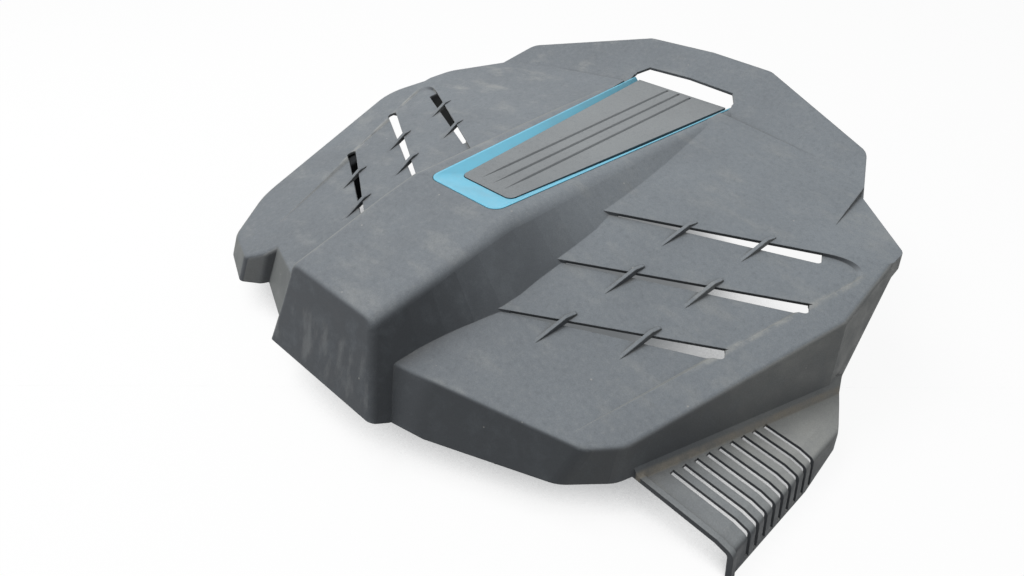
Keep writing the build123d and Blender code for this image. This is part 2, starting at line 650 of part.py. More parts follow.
def centre_insert():
    floor = SPINE_TOP_Z - POCKET_DEPTH
    body = Pos(0, 0, floor) * extrude(insert_outline(0), amount=POCKET_DEPTH)
    body = split(body, bisect_by=insert_top(INSERT_PROUD), keep=Keep.BOTTOM)
    for x in GROOVE_X:
        body -= insert_top(INSERT_PROUD) * Pos(x, 0, 0) * groove()
    for x, y in insert_tab_places():
        body += tab(x, y, 0)
    return body


def build_shell():
    inner, middle = form(SKIN), form(SKIN - RIB_SINK)
    shell = form(0) - inner - under_cut() - window()
    for index in range(len(SLOT_LINES)):
        shell -= slot_cut(index, SLOT_INNER_X, SLOT_INNER_GAP)
        shell -= mirror(slot_cut(index, LEFT_SLOT_INNER_X, LEFT_SLOT_INNER_GAP), about=Plane.YZ)
    for index, places in enumerate(FIN_X):
        for x in places:
            gusset = fin(index, x)
            shell = shell + gusset + mirror(gusset, about=Plane.YZ)
    shell += flange()
    for _, x, y, z in stud_places():
        shell += socket(x, y, z, middle, inner)
    shell += ribs(middle)
    for x, y in trim_tab_places() + insert_tab_places():
        shell -= tab(x, y, TAB_GAP)
    return shell


def main():
    os.makedirs("parts", exist_ok=True)
    nodes = {"cover_shell": build_shell(), "trim_bezel": trim_bezel(), "centre_insert": centre_insert()}
    for name, x, y, z in stud_places():
        nodes[name] = grommet(x, y, z)
    for name, solid in nodes.items():
        print(name, len(solid.solids()), round(solid.volume), solid.bounding_box(), solid.is_valid)
        export_step(solid, "parts/" + name + ".step")


if __name__ == "__main__":
    main()
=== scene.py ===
"""Engine cover: finishes for the shell, its blue trim, the centre panel and the rubber grommets.

It adds two pieces: the ridges on the gusset fins, and a black foam pad inside the left wall, which is
painted shade: it darkens the view through the left louvres.
"""
import math

import bmesh
import bpy
from bpy.props import FloatProperty, FloatVectorProperty, PointerProperty
from mathutils import Matrix, Vector


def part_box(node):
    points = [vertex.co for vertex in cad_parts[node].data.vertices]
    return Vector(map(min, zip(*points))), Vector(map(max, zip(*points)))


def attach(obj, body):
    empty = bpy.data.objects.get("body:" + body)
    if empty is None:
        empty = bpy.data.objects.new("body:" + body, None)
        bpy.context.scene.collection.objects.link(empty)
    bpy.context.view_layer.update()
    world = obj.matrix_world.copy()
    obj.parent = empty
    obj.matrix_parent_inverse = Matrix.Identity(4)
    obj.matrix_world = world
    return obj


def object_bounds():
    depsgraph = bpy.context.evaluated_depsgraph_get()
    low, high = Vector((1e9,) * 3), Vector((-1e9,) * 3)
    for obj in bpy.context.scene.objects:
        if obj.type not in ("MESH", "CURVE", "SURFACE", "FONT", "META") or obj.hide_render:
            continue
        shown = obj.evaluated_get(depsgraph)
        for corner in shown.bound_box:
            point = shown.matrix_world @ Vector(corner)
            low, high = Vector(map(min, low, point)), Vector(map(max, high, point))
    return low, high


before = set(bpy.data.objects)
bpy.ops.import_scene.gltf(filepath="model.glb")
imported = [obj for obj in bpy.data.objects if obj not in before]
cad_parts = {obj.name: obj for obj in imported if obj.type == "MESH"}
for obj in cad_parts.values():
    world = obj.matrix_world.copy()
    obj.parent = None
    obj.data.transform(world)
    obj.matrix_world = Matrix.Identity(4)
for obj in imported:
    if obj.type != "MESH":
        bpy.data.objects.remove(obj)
CAD_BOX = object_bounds()

bl_info = {
    "name": "Engine Cover",
    "version": (1, 0, 0),
    "blender": (4, 5, 0),
    "location": "3D View > Sidebar > Engine Cover",
    "description": "Finishes a moulded engine cover and sets it on a pale studio floor",
    "category": "Object",
}

UP = Vector((0.0, 0.0, 1.0))
GROMMETS = ("grommet_front_left", "grommet_front_right", "grommet_rear_left", "grommet_rear_right")
# Fins of the right wing, row by row from the front: their places across the cover, and the line of the
# lip that they cross, as its place along the cover at the middle and its slope. The left wing mirrors
# them.
FIN_ROWS = (((0.1370, 0.1945), 0.0045, 0.626), ((0.1478, 0.2035), 0.0733, 0.606),
            ((0.1518, 0.2103), 0.1461, 0.560))
FIN_TURN = math.radians(11.0)
FIN_ROUND = 0.0006
# Corners of a ridge's outline: place along the fin from the lip, and the place there where the surface
# beside the fin is measured. The corners underneath also have their height against that surface.
RIDGE_PEAK = (0.001, 0.004)
RIDGE_UNDERSIDE = ((0.003, 0.004, -0.0030), (-0.016, -0.016, -0.0010))
RIDGE_SUNK = 0.0003
PROBE_ASIDE = 0.006
PROBE_TOP = 0.3
PAD_ROUND = 0.003
PAD_GAP = 0.0002
PAD_WALL_GAP = 0.001
PAD_WALL_HEIGHT = 0.05
FLOOR_HALF = 40.0
FLOOR_GAP = 0.0005
# Painted shadow on the floor: softness of the dark oval under the spine, and its darkest share.
DEEP_EDGE = (0.45, 1.25)
DEEP_SHARE = 0.15
# Upward part of the normal between which a face counts as bare or covered, and as steep or level.
FILM_TILT = (0.30, 0.86)
LEVEL_TILT = (0.5, 0.9)
DUST_TILT = (0.35, 0.75)
# How far the corners are felt for shade, for dust and along an edge or groove.
SHADE_REACH = 0.06
DUST_NEAR = 0.010
DUST_WIDE = 0.030
GROOVE_REACH = 0.004
GRAIN_DEPTH = 0.0002
FOAM_DEPTH = 0.0008
IMAGE_WIDTH = 1024
IMAGE_FOCAL = 770.0
SENSOR_WIDTH = 36.0
NEAR_CLIP = 0.01


def colour(name, description, default):
    return FloatVectorProperty(name=name, description=description, default=default, size=3,
                               min=0.0, max=1.0, subtype="COLOR")


def length(name, description, default):
    return FloatProperty(name=name, description=description, default=default, min=0.0, unit="LENGTH")


def share(name, description, default):
    return FloatProperty(name=name, description=description, default=default, min=0.0, max=1.0,
                         subtype="FACTOR")


def place(name, description, default):
    return FloatVectorProperty(name=name, description=description, default=default, size=3,
                               unit="LENGTH", subtype="TRANSLATION")


def spread(name, description, default):
    return FloatVectorProperty(name=name, description=description, default=default, size=2,
                               unit="LENGTH")


class CoverFinish(bpy.types.PropertyGroup):
    plastic: colour("Plastic", "Dark moulded plastic where no dust lies", (0.086, 0.093, 0.102))
    film: colour("Dust film", "Faded, dusty plastic on the faces that look up", (0.258, 0.284, 0.308))
    dust: colour("Dust", "Tan dust that gathers in corners", (0.34, 0.31, 0.26))
    stain: colour("Smears", "Dried smears low on the front of the spine", (0.25, 0.26, 0.265))
    # Painted light: a paler tone on the walls that look to the left, where the light comes from.
    left_light: colour("Blown dust", "Dust on the walls that look to the left", (0.235, 0.245, 0.235))
    # Also painted light: this pale tone lightens the walls that look to the right and the top of the
    # flange.
    pale: colour("Pale film", "Grey film on the flange, the right walls and wiped streaks",
                 (0.39, 0.395, 0.38))
    # Also a painted highlight: the edges that look to the left are paler still.
    worn_and_highlight: colour("Worn edges", "Paler plastic on the rubbed edges", (0.34, 0.35, 0.355))
    fleck: colour("Flecks", "Light specks of grit", (0.46, 0.45, 0.42))
    # Also painted shade: the same dark colours the front wall of the right wing and the grooves of the
    # centre panel.
    grain_and_shade_dark: colour("Grain", "Dark hollows of the moulded grain", (0.03, 0.033, 0.036))
    insert: colour("Centre panel", "Faded plastic of the grooved centre panel", (0.31, 0.326, 0.334))
    trim: colour("Trim", "Blue paint at the front of the trim", (0.195, 0.575, 0.765))
    trim_far: colour("Trim, rear", "Blue paint at the rear of the trim", (0.16, 0.46, 0.60))
    # Painted shade: the black of the pad that darkens the view through the left louvres.
    foam: colour("Foam", "Black foam of the pad under the left wing", (0.016, 0.017, 0.019))
    rubber: colour("Rubber", "Black rubber of the grommets", (0.022, 0.022, 0.023))
    bloom: colour("Bloom", "Dusty bloom on the rubber", (0.085, 0.083, 0.08))
    edge_round: length("Edge round", "Softness of the moulded edges", 0.0012)
    grain: length("Grain", "Spacing of the moulded grain", 0.0009)
    dust_amount: share("Dust amount", "How much dust lies in the corners", 0.55)
    stain_amount: share("Smear amount", "How strong the dried smears are", 0.5)
    spine_half: length("Spine half width", "Half of the width that the smears cover", 0.080)
    smear_low: length("Smear foot", "Height where the smears start", 0.030)
    smear_high: length("Smear top", "Height where the smears end", 0.062)
    fin_front: length("Fin front", "How far the ridge of a fin runs in front of the lip", 0.038)
    fin_rear: length("Fin rear", "How far the ridge of a fin runs behind the lip", 0.012)
    fin_width: length("Fin width", "Width of the ridge of a fin", 0.0038)
    fin_proud: length("Fin height", "How far the ridge of a fin stands above the lip", 0.0012)
    # Size and place of that pad, a painted shade under the left wing.
    pad_depth: length("Pad depth", "Thickness of the foam pad under the left wing", 0.052)
    pad_inner: FloatProperty(name="Pad side", default=-0.232, unit="LENGTH",
                             description="Place of the pad's inner side across the cover")
    pad_near: spread("Pad inner ends", "Front and rear end of the pad's inner side", (0.135, 0.192))
    pad_far: spread("Pad outer ends", "Front and rear end of the pad at the wall", (0.150, 0.212))
    louvre_end: place("Louvre end", "Outer end of the front louvre on the right wing",
                      (0.246, 0.156, 0.066))
    flange_root: place("Flange root", "Where the flange leaves the wall, in front",
                       (0.2485, 0.0645, 0.006))
    flange_turn: FloatProperty(name="Flange turn", description="Heading of the wall behind the flange",
                               subtype="ANGLE", default=math.radians(-17.7))


class CoverStage(bpy.types.PropertyGroup):
    floor: colour("Floor", "Pale floor", (0.95, 0.95, 0.95))
    # Painted shadow on the floor: its tone, reach and fall, and the place and size of the deeper oval.
    shade: colour("Shade", "Floor under the cover, where little light comes", (0.13, 0.14, 0.148))
    shade_reach: length("Shade reach", "How far off the cover still darkens the floor", 0.50)
    shade_fall: FloatProperty(name="Shade fall", default=2.4, min=1.0,
                              description="How fast the floor turns pale as it opens up")
    deep_place: spread("Deep shade place", "Middle of the darkest floor, under the spine", (0.0, 0.25))
    deep_reach: spread("Deep shade size", "Half lengths of the darkest floor", (0.16, 0.23))
    floor_glow: share("Floor evenness", "Share of the floor's tone that the lamp doesn't shade", 0.93)
    bounce: share("Floor bounce", "Share of light that the floor throws back at the cover", 0.22)
    sky: FloatProperty(name="Sky", description="Strength of the light all around", default=0.34,
                       min=0.0)
    sky_tone: colour("Sky tone", "Colour of the light all around", (0.97, 0.99, 1.0))
    key: FloatProperty(name="Key lamp", description="Power of the soft lamp", default=36.5, min=0.0,
                       unit="POWER")
    key_size: length("Key lamp size", "Width of the soft lamp", 1.3)
    key_place: place("Key lamp place", "Where the soft lamp hangs", (-0.68, -0.42, 2.02))
    camera_place: place("Camera place", "Where the camera stands", (0.452, -0.282, 0.457))
    azimuth: FloatProperty(name="Azimuth", description="Turn of the camera from the front",
                           subtype="ANGLE", default=math.radians(45.20))
    elevation: FloatProperty(name="Elevation", description="Height angle of the camera",
                             subtype="ANGLE", default=math.radians(36.02))


class Finish:
    """Node tree of one finish, with short calls for the nodes that it uses."""

    def __init__(self, name, roughness, specular):
        self.material = bpy.data.materials.new(name)
        self.material.use_nodes = True
        self.tree = self.material.node_tree
        self.tree.nodes.clear()
        self.shader = self.node("ShaderNodeBsdfPrincipled")
        self.shader.inputs["Roughness"].default_value = roughness
        self.shader.inputs["Specular IOR Level"].default_value = specular
        self.surface = self.node("ShaderNodeOutputMaterial").inputs["Surface"]
        self.link(self.shader.outputs["BSDF"], self.surface)
        self.place = self.node("ShaderNodeTexCoord").outputs["Object"]
        self.normal = self.node("ShaderNodeNewGeometry").outputs["Normal"]

    def node(self, kind, **values):
        node = self.tree.nodes.new(kind)
        for key, value in values.items():
            setattr(node, key, value)
        return node

    def link(self, source, socket):
        if hasattr(source, "is_linked"):
            self.tree.links.new(source, socket)
        else:
            socket.default_value = source

    def stretched(self, scale, move=(0.0, 0.0, 0.0)):
        node = self.node("ShaderNodeMapping")
        node.inputs["Scale"].default_value = scale
        node.inputs["Location"].default_value = move
        self.link(self.place, node.inputs["Vector"])
        return node.outputs["Vector"]

    def noise(self, scale, detail=3.0, rough=0.55, coordinates=None):
        node = self.node("ShaderNodeTexNoise")
        self.link(coordinates or self.place, node.inputs["Vector"])
        node.inputs["Scale"].default_value = scale
        node.inputs["Detail"].default_value = detail
        node.inputs["Roughness"].default_value = rough
        return node.outputs["Fac"]

    def grain(self, spacing):
        """Fine moulded grain."""
        return self.noise(1.0 / spacing, 2.0, 0.5)

    def mottle(self):
        """Small uneven spots of wear."""
        return self.noise(230.0, 5.0, 0.72)

    def specks(self, scale, size):
        """Small round spots, one in each cell, and a random value for each cell."""
        node = self.node("ShaderNodeTexVoronoi")
        self.link(self.place, node.inputs["Vector"])
        node.inputs["Scale"].default_value = scale
        spot = self.ramp(node.outputs["Distance"], size, size * 0.55)
        return spot, self.part(node.outputs["Color"], "X")

    def ramp(self, value, low, high, to_low=0.0, to_high=1.0):
        node = self.node("ShaderNodeMapRange", interpolation_type="SMOOTHSTEP")
        self.link(value, node.inputs["Value"])
        limits = {"From Min": low, "From Max": high, "To Min": to_low, "To Max": to_high}
        for key, number in limits.items():
            node.inputs[key].default_value = number
        return node.outputs["Result"]

    def math(self, operation, first, second=0.0):
        node = self.node("ShaderNodeMath", operation=operation)
        self.link(first, node.inputs[0])
        self.link(second, node.inputs[1])
        return node.outputs["Value"]

    def times(self, first, *others):
        for other in others:
            first = self.math("MULTIPLY", first, other)
        return first

    def part(self, vector, axis):
        node = self.node("ShaderNodeSeparateXYZ")
        self.link(vector, node.inputs["Vector"])
        return node.outputs[axis]

    def mix(self, factor, first, second):
        node = self.node("ShaderNodeMix", data_type="RGBA")
        self.link(factor, node.inputs["Factor"])
        for value, socket in ((first, node.inputs["A"]), (second, node.inputs["B"])):
            self.link(value if hasattr(value, "is_linked") else (*value, 1.0), socket)
        return node.outputs["Result"]

    def matt(self, tone):
        node = self.node("ShaderNodeBsdfDiffuse")
        node.inputs["Color"].default_value = (*tone, 1.0)
        return node.outputs["BSDF"]

    def glow(self, tone):
        node = self.node("ShaderNodeEmission")
        self.link(tone, node.inputs["Color"])
        return node.outputs["Emission"]

    def blend(self, factor, first, second):
        node = self.node("ShaderNodeMixShader")
        self.link(factor, node.inputs["Fac"])
        self.link(first, node.inputs[1])
        self.link(second, node.inputs[2])
        return node.outputs["Shader"]

    def grained(self, grain, tone, dark):
        """A tone with the hollows of the grain darkened."""
        return self.mix(self.ramp(grain, 0.3, 0.7, 0.0, 0.16), tone, dark)

    def facing_up(self, low, high):
        """1 on the faces that look up, by how straight they do."""
        return self.ramp(self.part(self.normal, "Z"), low, high)

    def facing_front(self, low, high):
        """1 on the faces that look to the front, by how straight they do."""
        return self.ramp(self.times(self.part(self.normal, "Y"), -1.0), low, high)

    def mirrored(self):
        """Object coordinates without their signs, so that the left half reads as the right one."""
        node = self.node("ShaderNodeVectorMath", operation="ABSOLUTE")
        self.link(self.place, node.inputs[0])
        return node.outputs["Vector"]

    def away(self, start, turn, coordinates=None):
        """Level distance from a place, along a heading."""
        out = (math.cos(turn), math.sin(turn), 0.0)
        node = self.node("ShaderNodeVectorMath", operation="DOT_PRODUCT")
        self.link(coordinates or self.place, node.inputs[0])
        node.inputs[1].default_value = out
        return self.math("SUBTRACT", node.outputs["Value"], start[0] * out[0] + start[1] * out[1])

    def between(self, value, low, high, soft):
        """1 between two limits, falling to 0 outside them."""
        return self.times(self.ramp(value, low - soft, low), self.ramp(value, high + soft, high))

    def edges(self, soft_normal, low, high):
        """1 on the sharp edges, where the soft normal leaves the true one."""
        node = self.node("ShaderNodeVectorMath", operation="DOT_PRODUCT")
        self.link(soft_normal, node.inputs[0])
        self.link(self.normal, node.inputs[1])
        return self.ramp(self.math("SUBTRACT", 1.0, node.outputs["Value"]), low, high)

    def corners(self, reach):
        """1 deep in a corner, 0 in the open."""
        node = self.node("ShaderNodeAmbientOcclusion", samples=8)
        node.inputs["Distance"].default_value = reach
        return self.math("SUBTRACT", 1.0, node.outputs["AO"])

    def soft_edges(self, radius):
        node = self.node("ShaderNodeBevel", samples=4)
        node.inputs["Radius"].default_value = radius
        return node.outputs["Normal"]

    def bump(self, height, strength, depth, normal):
        node = self.node("ShaderNodeBump")
        node.inputs["Strength"].default_value = strength
        node.inputs["Distance"].default_value = depth
        self.link(height, node.inputs["Height"])
        self.link(normal, node.inputs["Normal"])
        return node.outputs["Normal"]


def shell_finish(values):
    """Grained plastic: dusty on top, dark on the walls, dust in the corners and smears in front;
    painted shade in the corners and on the right wing's front wall, painted light on the side walls
    and the flange, and painted highlights on edges.
    """
    f = Finish("shell_plastic", roughness=0.62, specular=0.24)
    soft = f.soft_edges(values.edge_round)
    level = f.facing_up(*LEVEL_TILT)
    clouds = f.noise(9.0, detail=6.0, rough=0.62)
    blotches = f.noise(60.0, detail=6.0, rough=0.65)
    mottle = f.mottle()
    grain = f.grain(values.grain)
    film = f.times(f.facing_up(*FILM_TILT), f.ramp(clouds, 0.28, 0.68, 0.80, 1.0), film_share(f))
    tone = f.mix(film, values.plastic, values.film)
    # Dust film and painted light: a paler tone on the walls that look to the right and on the lobe.
    tone = f.mix(f.times(side_film_and_light(f), f.ramp(clouds, 0.30, 0.65, 0.6, 1.0)), tone, values.pale)
    streaks = f.stretched((16.0, 34.0, 30.0), (0.0, 0.0, 0.35))
    wiped = f.noise(1.0, detail=5.0, rough=0.62, coordinates=streaks)
    tone = f.mix(f.times(f.ramp(wiped, 0.50, 0.72), level, pale_share(f)), tone, values.pale)
    tone = f.mix(f.ramp(blotches, 0.42, 0.75, 0.0, 0.26), tone, values.film)
    tone = f.mix(f.times(f.ramp(mottle, 0.48, 0.72), level, 0.17), tone, values.pale)
    tone = f.mix(f.times(f.ramp(mottle, 0.50, 0.30), level, 0.20), tone, values.plastic)
    # Painted shade: the corners darken towards the bare plastic.
    tone = f.mix(f.ramp(f.corners(SHADE_REACH), 0.03, 0.30, 0.0, 0.62), tone, values.plastic)
    # Painted shade on the front wall of the right wing.
    tone = f.mix(front_shade(f), tone, values.grain_and_shade_dark)
    # Painted light on the walls that look to the left.
    left_light = f.times(f.ramp(f.part(f.normal, "X"), -0.27, -0.36), f.ramp(clouds, 0.30, 0.65, 0.45, 0.85))
    tone = f.mix(left_light, tone, values.left_light)
    tone = f.mix(smears(f, values), tone, values.stain)
    near = f.ramp(f.corners(DUST_NEAR), 0.30, 0.80)
    wide = f.ramp(f.corners(DUST_WIDE), 0.16, 0.34, 0.0, 0.45)
    settle = f.times(f.math("MAXIMUM", near, wide), f.ramp(blotches, 0.34, 0.62), values.dust_amount)
    tone = f.mix(f.times(settle, f.facing_up(*DUST_TILT)), tone, values.dust)
    root, plate_light = flange_dust_and_light(f, values, blotches)
    # Painted light on the top of the flange.
    tone = f.mix(plate_light, tone, values.pale)
    tone = f.mix(root, tone, values.dust)
    # Painted highlight along the outer ends of the louvres.
    tone = f.mix(f.times(end_highlight(f, values), level, f.ramp(blotches, 0.35, 0.60)), tone, values.pale)
    # Wear and painted highlight: rubbed edges turn paler, most where they look to the left.
    rubbed_and_highlight = f.times(f.edges(soft, 0.01, 0.12), f.ramp(blotches, 0.35, 0.60, 0.15, 0.6))
    left_highlight = f.ramp(f.part(soft, "X"), 0.2, -0.2, 0.45, 1.3)
    rubbed_and_highlight = f.times(rubbed_and_highlight, f.ramp(f.corners(GROOVE_REACH), 0.40, 0.20), left_highlight)
    tone = f.mix(rubbed_and_highlight, tone, values.worn_and_highlight)
    spot, chance = f.specks(75.0, size=0.085)
    tone = f.mix(f.times(spot, f.ramp(chance, 0.80, 0.86), 0.55), tone, values.fleck)
    tone = f.grained(grain, tone, values.grain_and_shade_dark)
    f.link(tone, f.shader.inputs["Base Color"])
    f.link(f.ramp(blotches, 0.3, 0.7, 0.52, 0.70), f.shader.inputs["Roughness"])
    f.link(f.bump(grain, 0.28, GRAIN_DEPTH, soft), f.shader.inputs["Normal"])
    return f.material


def film_share(f):
    """Share of the film tone: less in front, on the left and on the rear border."""
    across, along = f.part(f.place, "X"), f.part(f.place, "Y")
    return f.times(f.ramp(along, -0.05, 0.30, 0.70, 1.0), f.ramp(along, 0.38, 0.46, 1.0, 0.86),
                   f.ramp(across, -0.30, 0.25, 0.78, 1.0))


def pale_share(f):
    """How far wiped streaks turn pale: most on the left rear panel."""
    across, along = f.part(f.place, "X"), f.part(f.place, "Y")
    rear = f.times(f.ramp(along, 0.24, 0.34), f.ramp(across, -0.04, -0.12), 0.35)
    return f.math("ADD", rear, 0.30)


def front_shade(f):
    """Painted shade: darker plastic on the front wall of the right wing."""
    return f.times(f.facing_front(0.50, 0.80), f.ramp(f.part(f.place, "X"), 0.085, 0.105), 0.42)


def side_film_and_light(f):
    """Dust film and painted light: a paler tone on the walls that look to the right, more to the rear,
    and on the front of the lobe.
    """
    across, along = f.part(f.place, "X"), f.part(f.place, "Y")
    right = f.part(f.normal, "X")
    wall = f.times(f.ramp(right, 0.45, 0.82), f.ramp(along, 0.08, 0.20, 0.25, 0.85),
                   f.ramp(across, 0.14, 0.18))
    lobe = f.times(f.ramp(right, 0.35, 0.50), f.ramp(across, -0.13, -0.16), 0.52)
    return f.math("MAXIMUM", wall, lobe)


def smears(f, values):
    """Short dried smears low on the front of the spine."""
    aside = f.math("ABSOLUTE", f.part(f.place, "X"))
    inside = f.ramp(aside, values.spine_half, values.spine_half * 0.9)
    low = f.between(f.part(f.place, "Z"), values.smear_low, values.smear_high, 0.012)
    patches = f.noise(1.0, detail=4.0, rough=0.6, coordinates=f.stretched((70.0, 30.0, 26.0)))
    return f.times(f.ramp(patches, 0.46, 0.72), f.facing_front(0.80, 0.94), inside, low,
                   values.stain_amount)


def flange_dust_and_light(f, values, blotches):
    """Line of dust along the root of the flange, and painted light on the flange's top, which the
    wing's wall would shade.
    """
    away = f.away(values.flange_root, values.flange_turn)
    lift = f.math("SUBTRACT", f.part(f.place, "Z"), values.flange_root[2])
    low = f.ramp(lift, 0.0085, 0.006)
    line = f.times(f.between(away, 0.0030, 0.0046, 0.0022), low,
                   f.ramp(blotches, 0.30, 0.62, 0.30, 0.90))
    level = f.facing_up(*LEVEL_TILT)
    rear = f.ramp(f.part(f.place, "Y"), 0.07, 0.16, 0.35, 1.0)
    plate_light = f.times(f.ramp(away, 0.0035, 0.006), low, level, rear,
                    f.ramp(blotches, 0.30, 0.70, 0.75, 1.0))
    return line, plate_light


def end_highlight(f, values):
    """Painted highlight: a pale line on both wings, along the outer ends of the louvres."""
    away = f.away(values.louvre_end, values.flange_turn, f.mirrored())
    start = values.louvre_end[1]
    run = f.between(f.part(f.place, "Y"), start - 0.01, start + 0.115, 0.03)
    return f.times(f.between(away, -0.0005, 0.001, 0.0035), run, 0.7)


def insert_finish(values):
    """Grained plastic of the centre panel, a little warmer, with painted shade in its grooves."""
    f = Finish("insert_plastic", roughness=0.58, specular=0.22)
    clouds = f.noise(17.0, detail=5.0, rough=0.6)
    grain = f.grain(values.grain)
    rear = f.ramp(f.part(f.place, "Y"), 0.13, 0.30, 0.80, 1.0)
    faded = f.times(f.facing_up(*FILM_TILT), rear, f.ramp(clouds, 0.25, 0.72, 0.82, 1.0))
    tone = f.mix(faded, values.plastic, values.insert)
    tone = f.mix(f.ramp(f.mottle(), 0.50, 0.30, 0.0, 0.18), tone, values.plastic)
    middle = f.ramp(f.math("ABSOLUTE", f.part(f.place, "X")), 0.024, 0.028, 0.8, 0.25)
    # Painted shade: the grooves darken by how closely their walls are felt, most in the middle.
    grooves = f.ramp(f.corners(GROOVE_REACH), 0.30, 0.70)
    tone = f.mix(f.times(grooves, middle), tone, values.grain_and_shade_dark)
    tone = f.grained(grain, tone, values.grain_and_shade_dark)
    f.link(tone, f.shader.inputs["Base Color"])
    f.link(f.ramp(clouds, 0.3, 0.7, 0.48, 0.64), f.shader.inputs["Roughness"])
    soft = f.soft_edges(values.edge_round * 0.6)
    f.link(f.bump(grain, 0.22, GRAIN_DEPTH, soft), f.shader.inputs["Normal"])
    return f.material


def trim_finish(values):
    """Satin blue paint that dulls towards the rear under a thin dust."""
    f = Finish("trim_plastic", roughness=0.38, specular=0.32)
    low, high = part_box("trim_bezel")
    rear = f.ramp(f.part(f.place, "Y"), low.y + 0.08, high.y)
    haze = f.ramp(f.noise(38.0, detail=5.0, rough=0.6), 0.42, 0.74, 0.0, 0.16)
    tone = f.mix(rear, values.trim, values.trim_far)
    tone = f.mix(haze, tone, values.film)
    f.link(tone, f.shader.inputs["Base Color"])
    sheen = f.noise(120.0, detail=4.0)
    f.link(f.ramp(sheen, 0.3, 0.7, 0.30, 0.46), f.shader.inputs["Roughness"])
    f.link(f.soft_edges(values.edge_round * 0.6), f.shader.inputs["Normal"])
    return f.material


def rubber_finish(values):
    """Matt black rubber with a dusty bloom."""
    f = Finish("grommet_rubber", roughness=0.78, specular=0.3)
    bloom = f.ramp(f.noise(160.0, detail=4.0, rough=0.6), 0.40, 0.72, 0.0, 0.35)
    f.link(f.mix(bloom, values.rubber, values.bloom), f.shader.inputs["Base Color"])
    soft = f.soft_edges(values.edge_round * 0.5)
    f.link(f.bump(f.noise(900.0, detail=2.0), 0.2, GRAIN_DEPTH, soft), f.shader.inputs["Normal"])
    return f.material


def shade_foam_finish(values):
    """Open black foam of the pad, a painted shade for the view through the left louvres."""
    f = Finish("shade_pad_foam", roughness=0.95, specular=0.1)
    cells = f.noise(700.0, detail=3.0, rough=0.7)
    tone = f.mix(f.ramp(cells, 0.35, 0.7), values.grain_and_shade_dark, values.foam)
    f.link(tone, f.shader.inputs["Base Color"])
    soft = f.soft_edges(values.edge_round)
    f.link(f.bump(cells, 0.6, FOAM_DEPTH, soft), f.shader.inputs["Normal"])
    return f.material


def dress(name, material):
    """Give a CAD node its finish."""
    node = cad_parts[name]
    node.data.materials.clear()
    node.data.materials.append(material)


def surface(shell, start, heading):
    """Where a line from a place first meets the shell."""
    hit, point, _, _ = shell.ray_cast(Vector(start), Vector(heading))
    if not hit:
        raise RuntimeError("no shell where a piece needs it")
    return point


def draw_out(shape, outline, step):
    """Add a block: a face on the outline, drawn out by a step."""
    face = shape.faces.new([shape.verts.new(point) for point in outline])
    grown = bmesh.ops.extrude_face_region(shape, geom=[face])["geom"]
    bmesh.ops.translate(shape, verts=[v for v in grown if isinstance(v, bmesh.types.BMVert)], vec=step)


def round_edges(shape, width, segments):
    """Round every edge of a closed shape and point its faces outwards."""
    bmesh.ops.bevel(shape, geom=shape.edges[:], offset=width, segments=segments, profile=0.5,
                    affect="EDGES", material=-1, clamp_overlap=True)
    bmesh.ops.recalc_face_normals(shape, faces=shape.faces[:])


def make_object(context, name, shape, material):
    """Put a finished shape in the scene."""
    mesh = bpy.data.meshes.new(name)
    shape.to_mesh(mesh)
    shape.free()
    mesh.materials.append(material)
    made = bpy.data.objects.new(name, mesh)
    context.scene.collection.objects.link(made)
    return made


class COVER_OT_shell(bpy.types.Operator):
    """Finish the moulded shell"""
    bl_idname = "cover.shell"
    bl_label = "Shell"

    def execute(self, context):
        dress("cover_shell", shell_finish(context.scene.cover_finish))
        return {"FINISHED"}


class COVER_OT_fins(bpy.types.Operator):
    """Lay a rounded ridge over each gusset fin"""
    bl_idname = "cover.fins"
    bl_label = "Fins"

    def execute(self, context):
        values = context.scene.cover_finish
        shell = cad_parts["cover_shell"]
        ridges = bmesh.new()
        for places, start, slope in FIN_ROWS:
            for aside in places:
                for side in (1.0, -1.0):
                    lip = Vector((side * aside, start + slope * aside, 0.0))
                    self.ridge(ridges, shell, lip, side, values)
        round_edges(ridges, FIN_ROUND, 2)
        piece = make_object(context, "fin_ridges", ridges, shell.data.materials[0])
        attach(piece, "root")
        return {"FINISHED"}

    def ridge(self, ridges, shell, lip, side, values):
        """One ridge: its side outline on the surfaces beside the fin, drawn out to its width."""
        along = Vector((side * math.sin(FIN_TURN), math.cos(FIN_TURN), 0.0))
        across = side * Vector((along.y, -along.x, 0.0))

        def corner(run, probe, lift):
            at = lip + along * probe + across * math.copysign(PROBE_ASIDE, -probe)
            height = surface(shell, (at.x, at.y, PROBE_TOP), -UP).z
            spot = lip + along * run - across * (values.fin_width / 2)
            return spot.x, spot.y, height + lift

        front, rear = -values.fin_front, values.fin_rear
        outline = [corner(front, front, -RIDGE_SUNK), corner(*RIDGE_PEAK, values.fin_proud),
                   corner(rear, rear, -RIDGE_SUNK)]
        outline += [corner(*under) for under in RIDGE_UNDERSIDE]
        draw_out(ridges, outline, across * values.fin_width)


